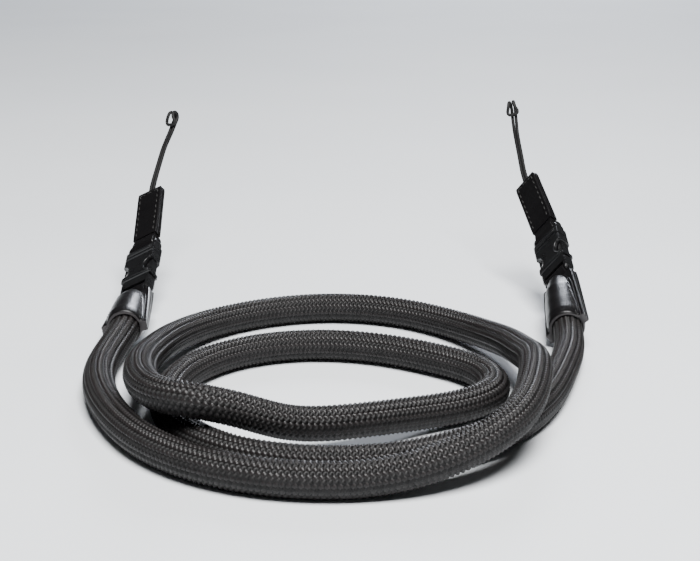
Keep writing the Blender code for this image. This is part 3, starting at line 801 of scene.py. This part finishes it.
def face_mesh(name, mouth, bar, rows=56, columns=36):
    """A closed piece of leather on the sleeve's surface, with a rounded border."""
    points = []
    for lift in (FACE_THICKNESS, -FACE_SUNK):
        for r in range(rows):
            along = FACE_FROM + FACE_SPAN * math.sin(math.pi / 2 * r / (rows - 1))
            for c in range(columns):
                share = math.sin(math.pi / 2 * (2 * c / (columns - 1) - 1))
                edge = lift > 0 and (c in (0, columns - 1) or r in (0, rows - 1))
                points.append(face_point(mouth, bar, along, share,
                                         lift * (BORDER_SHARE if edge else 1.0)))
    faces = []
    layer = rows * columns
    for r in range(rows - 1):
        for c in range(columns - 1):
            a = r * columns + c
            faces.append((a, a + 1, a + columns + 1, a + columns))
            faces.append((layer + a, layer + a + columns, layer + a + columns + 1, layer + a + 1))
    border = list(range(columns))
    border += [r * columns + columns - 1 for r in range(1, rows)]
    border += [(rows - 1) * columns + c for c in range(columns - 2, -1, -1)]
    border += [r * columns for r in range(rows - 2, 0, -1)]
    for a, b in zip(border, border[1:] + border[:1]):
        faces.append((a, b, layer + b, layer + a))
    mesh = mesh_of(name, points, faces)
    # The border takes the cut edge's lighter colour, which is partly a painted highlight.
    for face in list(mesh.polygons)[-len(border):]:
        face.material_index = 1
    return mesh


for side, made in FRAMES.items():
    mesh = face_mesh("sleeve_face_" + side, made["mouth"], made["socket_bar"])
    piece = add_piece("sleeve_face_" + side, mesh, leather, cut_edge)
    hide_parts("sleeve_" + side)
    print(piece.name, len(mesh.polygons), "faces")

# %% [markdown]
# ## The tabs
#
# A tab is a shorter strip of the same leather, folded round the buckle's other bar, with two
# layers that show as ridges along its straight sides. The string leaves it through the middle of
# its end. The sizes are the CAD tab's.

# %% Tabs
TAB_WIDTH, TAB_THICKNESS, TAB_LAYERS = 9.8 * MM, 2.6 * MM, 2
TAB_SHAPE = ((0.0, 0.18, 0.55, 0.96, 1.0), (0.96, 1.0, 1.0, 1.0, 0.97), (1.2, 1.05, 1.0, 1.0, 0.9))
TAB_STATIONS = np.linspace(0.0, 0.985, 18)
TAB_END_ROUND = 0.1 * MM, 0.12 * MM


def tab_size(along):
    """Half width and half thickness of a tab, part of the way from its neck to its straight end."""
    return (TAB_WIDTH / 2 * np.interp(along, TAB_SHAPE[0], TAB_SHAPE[1]),
            TAB_THICKNESS / 2 * np.interp(along, TAB_SHAPE[0], TAB_SHAPE[2]))


def tab_mesh(name, bar, end):
    """The leather from the round of its loop to its straight end."""
    neck = LOOP_NECK / TAB_LENGTH
    rings = loop_rings(bar, -1, between(bar, end, neck), TAB_LAYERS)[::-1]
    for along in TAB_STATIONS:
        half_width, half_thick = tab_size(along)
        rings.append(ring_at(between(bar, end, neck + (1 - neck) * along),
                             section(half_width, half_thick, 0.0, TAB_LAYERS)))
    half_width, half_thick = (size - less for size, less in zip(tab_size(1.0), TAB_END_ROUND))
    rings.append(ring_at(end, section(half_width, half_thick, 0.0, TAB_LAYERS)))
    return loft(name, rings)


for side, made in FRAMES.items():
    blank = tab_mesh("tab_" + side, made["plug_bar"], made["tab_end"])
    tab = add_piece("leather_tab_" + side, cut_bar_hole(blank, made["plug_bar"]), leather)
    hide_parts("tab_" + side)
    print(tab.name, len(tab.data.polygons), "faces")

# %% [markdown]
# ## Strings
#
# Each loop is one thin braided cord: two strands leave the tab side by side, run up to a lark's
# head hitch and go round in it. A braid this thin shows only as small ridges, so the tube's
# section has four lobes that wind round it. The hitch's points are the CAD model's own, in cord
# diameters from the middle of its eye.

# %% String loops
CORD_DIAMETER, CORD_IN_TAB, CORD_APART, CORD_BOW = 1.2 * MM, 7.0 * MM, 1.12, 0.6 * MM
LOBES, LOBE_DEPTH, TWIST_LENGTH = 4, 0.07, 3.2 * MM
STRING_STEPS, STRING_CORNERS = 420, 16
HITCH_HALF = [
    (0.54, -3.2, -0.35), (0.54, -1.4, -0.95), (0.55, 0.0, -1.27), (0.58, 1.05, -0.72),
    (0.62, 1.28, 0.10), (0.70, 0.80, 1.00), (0.90, -0.20, 1.30), (1.30, -1.30, 1.10),
    (1.48, -2.20, 0.82), (1.05, -2.80, 0.80), (0.40, -2.95, 0.85),
]
string_cord, tree, shader = new_material("braided_polyester_string", "#0e0d0d", 0.65, {"IOR": 1.4})
fibres = noise(tree, 2600.0)
tinted(tree, shader, fibres, "#060606", "#110f0f")
bumped(tree, shader, fibres, 0.5, 0.1 * MM)


def strand(made, hand):
    """One side of a string loop: out of the tab, up to the hitch, and round its half of it."""
    across = hand * CORD_APART / 2 * CORD_DIAMETER
    drop = min(along for _, along, _ in HITCH_HALF)
    eye = made["collar"] @ Matrix.Translation((0, -drop * CORD_DIAMETER, 0))
    line = [made["tab_end"] @ Vector((across, along, 0))
            for along in (-CORD_IN_TAB, -CORD_IN_TAB / 2, 0)]
    line += [made["cord"] @ Vector((across, CORD_LENGTH * share, CORD_BOW))
             for share in (0.35, 0.65)]
    return line + [eye @ (Vector((hand * x, y, z)) * CORD_DIAMETER) for x, y, z in HITCH_HALF]


def lobed_radii(line):
    """Radii of the rings along a string: their lobes wind round it."""
    turn = 2 * np.pi * np.arange(STRING_CORNERS) / STRING_CORNERS
    wound = 2 * np.pi * way_along(line) / TWIST_LENGTH
    lobes = np.cos(LOBES * (turn[None, :] - wound[:, None]))
    return CORD_DIAMETER / 2 * (1 - LOBE_DEPTH + LOBE_DEPTH * lobes)


for side, made in FRAMES.items():
    line = smooth_route(strand(made, 1) + strand(made, -1)[::-1], STRING_STEPS)
    mesh = tube_mesh("string_" + side, line, lobed_radii(line), STRING_CORNERS)
    string = add_piece("string_" + side, mesh, string_cord)
    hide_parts("string_loop_" + side)
    print(string.name, "%.0f mm of string" % (length_of(line) / MM))

# %% [markdown]
# ## Seams
#
# The sleeves and tabs are sewn with dark waxed thread. Each stitch lies on the leather between
# two needle holes and sinks in at both ends. One stitch is modelled, and Geometry Nodes set it
# along each seam at the needle's spacing, upright on the leather.

# %% Geometry Nodes: stitches along a seam
STITCH_LENGTH, STITCH_WIDTH, STITCH_SPOTS, STITCH_CORNERS = 1.8 * MM, 0.36 * MM, 9, 8
STITCH_RISE, STITCH_SUNK, STITCH_ENDS, STITCH_BELLY = 0.62, 0.35, 0.55, 0.45


def stitch_mesh():
    """A bent stitch that dives into the leather at both ends, along Y and rising along Z."""
    shares = np.linspace(-0.5, 0.5, STITCH_SPOTS)
    arch = np.cos(np.pi * shares)
    line = np.stack([0 * shares, STITCH_LENGTH * shares,
                     STITCH_WIDTH * (STITCH_RISE * arch - STITCH_SUNK)], axis=1)
    radii = STITCH_WIDTH / 2 * (STITCH_ENDS + STITCH_BELLY * arch)
    return tube_mesh("stitch", line, radii, STITCH_CORNERS)


def seam_tree():
    """Tree that sets a stitch on each point of a seam, along it and out of the leather."""
    tree, given = new_tree("seam", {"Stitch": "Object", "Turn jitter": "Float", "Seed": "Int",
                                    "Material": "Material"})
    least = maths(tree, "MULTIPLY", given["Turn jitter"], -1.0)
    turn = chance(tree, least, given["Turn jitter"], given["Seed"])
    rotation = turned_to(tree, stored(tree, "out"), stored(tree, "way"), turn)
    stitches = set_on(tree, given["Geometry"], given["Stitch"], {"Rotation": rotation})
    return end_tree(tree, stitches, given["Material"])


SEAM = seam_tree()
print("seam tree: %d nodes" % len(SEAM.nodes))

# %% Sew the sleeves and tabs
STITCH_PITCH, TURN_JITTER = 2.6 * MM, 0.12
SEAM_FROM, SEAM_SPAN, SEAM_INSET = 0.05, 0.74, 1.9 * MM
TAB_SEAM_FROM, TAB_SEAM_SPAN, TAB_SEAM_INSET = 0.12, 0.8, 1.3 * MM
END_SEAM_PLACE, END_SEAM_LENGTH = 0.945, 5.4 * MM

thread, tree, shader = new_material("waxed_polyester_thread", "#151413", 0.5)
twist = add(tree, "ShaderNodeTexWave",
            inputs={"Vector": coords_of(tree), "Scale": 900.0, "Distortion": 1.0})
tinted(tree, shader, twist.outputs["Fac"], "#100f0e", "#1f1d1c")


def seam_points(spot, count):
    """Points of a seam, with its direction and the leather's normal."""
    shares = np.linspace(0.0, 1.0, count)
    low = np.array([spot(share, 0.0) for share in shares])
    high = np.array([spot(share, MM) for share in shares])
    return point_mesh("seam_points", low, way=np.gradient(low, axis=0), out=high - low)


def sleeve_seam(made, hand):
    """A seam along one edge of a sleeve's face piece, and its length."""
    def spot(share, lift):
        along = SEAM_FROM + SEAM_SPAN * share
        half_width, swell = sleeve_size(along)
        across = hand * (half_width - SEAM_INSET)
        height = top_height(across, SLEEVE_EDGE / 2, swell) + FACE_THICKNESS
        place = between(made["mouth"], made["socket_bar"], along * SHOULDER)
        return place @ Vector((across, 0, height + lift))
    return spot, SEAM_SPAN * SHOULDER * SLEEVE_LENGTH


def tab_seam(made, hand):
    """A seam along one long side of a tab, and its length."""
    neck = LOOP_NECK / TAB_LENGTH
    def spot(share, lift):
        along = TAB_SEAM_FROM + TAB_SEAM_SPAN * share
        half_width, half_thick = tab_size(along)
        place = between(made["plug_bar"], made["tab_end"], neck + (1 - neck) * along)
        return place @ Vector((hand * (half_width - TAB_SEAM_INSET), 0, half_thick + lift))
    return spot, TAB_SEAM_SPAN * (TAB_LENGTH - LOOP_NECK)


def tab_end_seam(made):
    """A short seam across a tab's straight end, over the string, and its length."""
    def spot(share, lift):
        place = between(made["plug_bar"], made["tab_end"], END_SEAM_PLACE)
        return place @ Vector(((share - 0.5) * END_SEAM_LENGTH, 0, TAB_THICKNESS / 2 + lift))
    return spot, END_SEAM_LENGTH


stitch_source = new_object("stitch", stitch_mesh())
stitch_source.data.materials.append(thread)
for side, made in FRAMES.items():
    seams = {"sleeve": (sleeve_seam(made, -1), sleeve_seam(made, 1)),
             "tab": (tab_seam(made, -1), tab_seam(made, 1), tab_end_seam(made))}
    for part, routes in seams.items():
        for number, (spot, long) in enumerate(routes):
            points = seam_points(spot, round(long / STITCH_PITCH) + 1)
            mesh = run_nodes("seam_%s_%s_%d" % (part, side, number + 1), points, SEAM,
                             {"Stitch": stitch_source, "Turn jitter": TURN_JITTER,
                              "Seed": number, "Material": thread})
            add_piece(mesh.name, mesh)
    print("sewed the", side, "sleeve and tab")
bpy.data.objects.remove(stitch_source, do_unlink=True)

# %% [markdown]
# ## The buckles
#
# The two halves of each buckle are moulded acetal, a hard, slightly waxy plastic. The CAD solids
# already have the rounded edges, finger notches, prongs and rib, so they stay and only get a
# finish: a fine spark texture that a mould leaves, and softer gloss where fingers polish it.

# %% Material: moulded acetal
acetal, tree, shader = new_material("moulded_black_acetal", "#0f0f10", 0.3)
rubbed = noise(tree, 320.0)
tinted(tree, shader, rubbed, "#0c0c0d", "#161617")
roughened(tree, shader, rubbed, 0.22, 0.36)
bumped(tree, shader, noise(tree, 2400.0), 0.18, 0.04 * MM)
for name in sorted(nodes):
    if name.startswith("buckle"):
        nodes[name].data.materials.clear()
        nodes[name].data.materials.append(acetal)
        print(name, "is now", acetal.name)

# %% [markdown]
# ## Moulded lines on the buckles
#
# A thin raised lip runs round each finger notch of a socket, another bows across its lower edge,
# and the plug's rib has a rounded crest. Each is a fine tube, half sunk into the buckle's face,
# and shows only because it catches the light.

# %% Lips round the notches, across the lower edge and on the rib
BUCKLE_THICKNESS, RIDGE_HEIGHT = 5.0 * MM, 0.5 * MM
LIP_RADIUS, LIP_STEPS, LIP_CORNERS = 0.24 * MM, 32, 8
NOTCH_RADIUS, NOTCH_PLACE, NOTCH_OUT = 3.4 * MM, 10.6 * MM, 6.2 * MM
NOTCH_ARC = np.radians(np.linspace(108, 252, 9))
LOWER_EDGE = ((-5.2, 6.6), (0.0, 7.3), (5.2, 6.6))
RIDGE_CREST = ((-4.6, 19.1), (0.0, 19.1), (4.6, 19.1))


def notch_route(hand):
    """Points round one finger notch, in the socket's own frame."""
    return [(hand * (NOTCH_OUT + NOTCH_RADIUS * math.cos(a)),
             NOTCH_PLACE + NOTCH_RADIUS * math.sin(a)) for a in NOTCH_ARC]


half = BUCKLE_THICKNESS / 2
edge, crest = ([(x * MM, y * MM) for x, y in route] for route in (LOWER_EDGE, RIDGE_CREST))
routes = [(notch_route(-1), half), (notch_route(1), half), (edge, half),
          (crest, half + RIDGE_HEIGHT)]
for side, made in FRAMES.items():
    for number, (route, height) in enumerate(routes):
        for face, hand in (("front", 1), ("back", -1)):
            spots = [made["socket_bar"] @ Vector((x, y, hand * height)) for x, y in route]
            line = smooth_route(spots, LIP_STEPS)
            name = "buckle_lip_%s_%s_%d" % (side, face, number + 1)
            mesh = tube_mesh(name, line, np.full(LIP_STEPS, LIP_RADIUS), LIP_CORNERS)
            add_piece(name, mesh, acetal)
    print("lips on the", side, "buckle:", 2 * len(routes))

# %% [markdown]
# ## Table, light and size
#
# The strap lies on a plain pale table much larger than the view. Black things show their shape
# by what they reflect, so the lights are large and soft: a window far behind draws the glints
# along the rope and the sleeves, a softbox in front lights the table, and a weak pale sky fills
# the shadows. Nothing stands above the tabs and buckles, so their faces stay black.

# %% Table
TABLE_HALF, TABLE_CORNERS = 6.0, ((-1, -1), (1, -1), (1, 1), (-1, 1))
table_finish, tree, shader = new_material("matt_white_laminate", "#e9ecef", 0.7)
tinted(tree, shader, noise(tree, 9.0, 1.0), "#e4e7ea", "#eceff1")
table_mesh = bpy.data.meshes.new("table")
table_mesh.from_pydata([(x * TABLE_HALF, y * TABLE_HALF, 0) for x, y in TABLE_CORNERS], [],
                       [(0, 1, 2, 3)])
table_mesh.materials.append(table_finish)
table = new_object("table", table_mesh)
table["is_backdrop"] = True
print("table", [round(size, 1) for size in table.dimensions])

# %% Lights
def add_area_light(name, place, target, size, power, tint):
    """A square soft light that faces a target."""
    lamp = bpy.data.lights.new(name, "AREA")
    lamp.size, lamp.energy, lamp.color = size, power, colour(tint)[:3]
    thing = new_object(name, lamp)
    thing.location = place
    thing.rotation_euler = (Vector(target) - Vector(place)).to_track_quat("-Z", "Y").to_euler()


add_area_light("window", (0.3, 2.2, 1.0), (0.0, 0.0, 0.0), 0.7, 36.0, "#f0f5ff")
add_area_light("softbox", (0.12, -0.38, 0.95), (0.0, -0.05, 0.0), 0.5, 30.0, "#ffffff")
sky = bpy.data.worlds.new("studio")
bpy.context.scene.world = sky
sky.use_nodes = True
backdrop = sky.node_tree.nodes["Background"]
backdrop.inputs["Color"].default_value = colour("#f2f5f8")
backdrop.inputs["Strength"].default_value = 0.05
print("lights set")

# %% Print the scene's size
scene_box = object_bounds()
print("scene box in mm:", [in_mm(corner) for corner in scene_box])
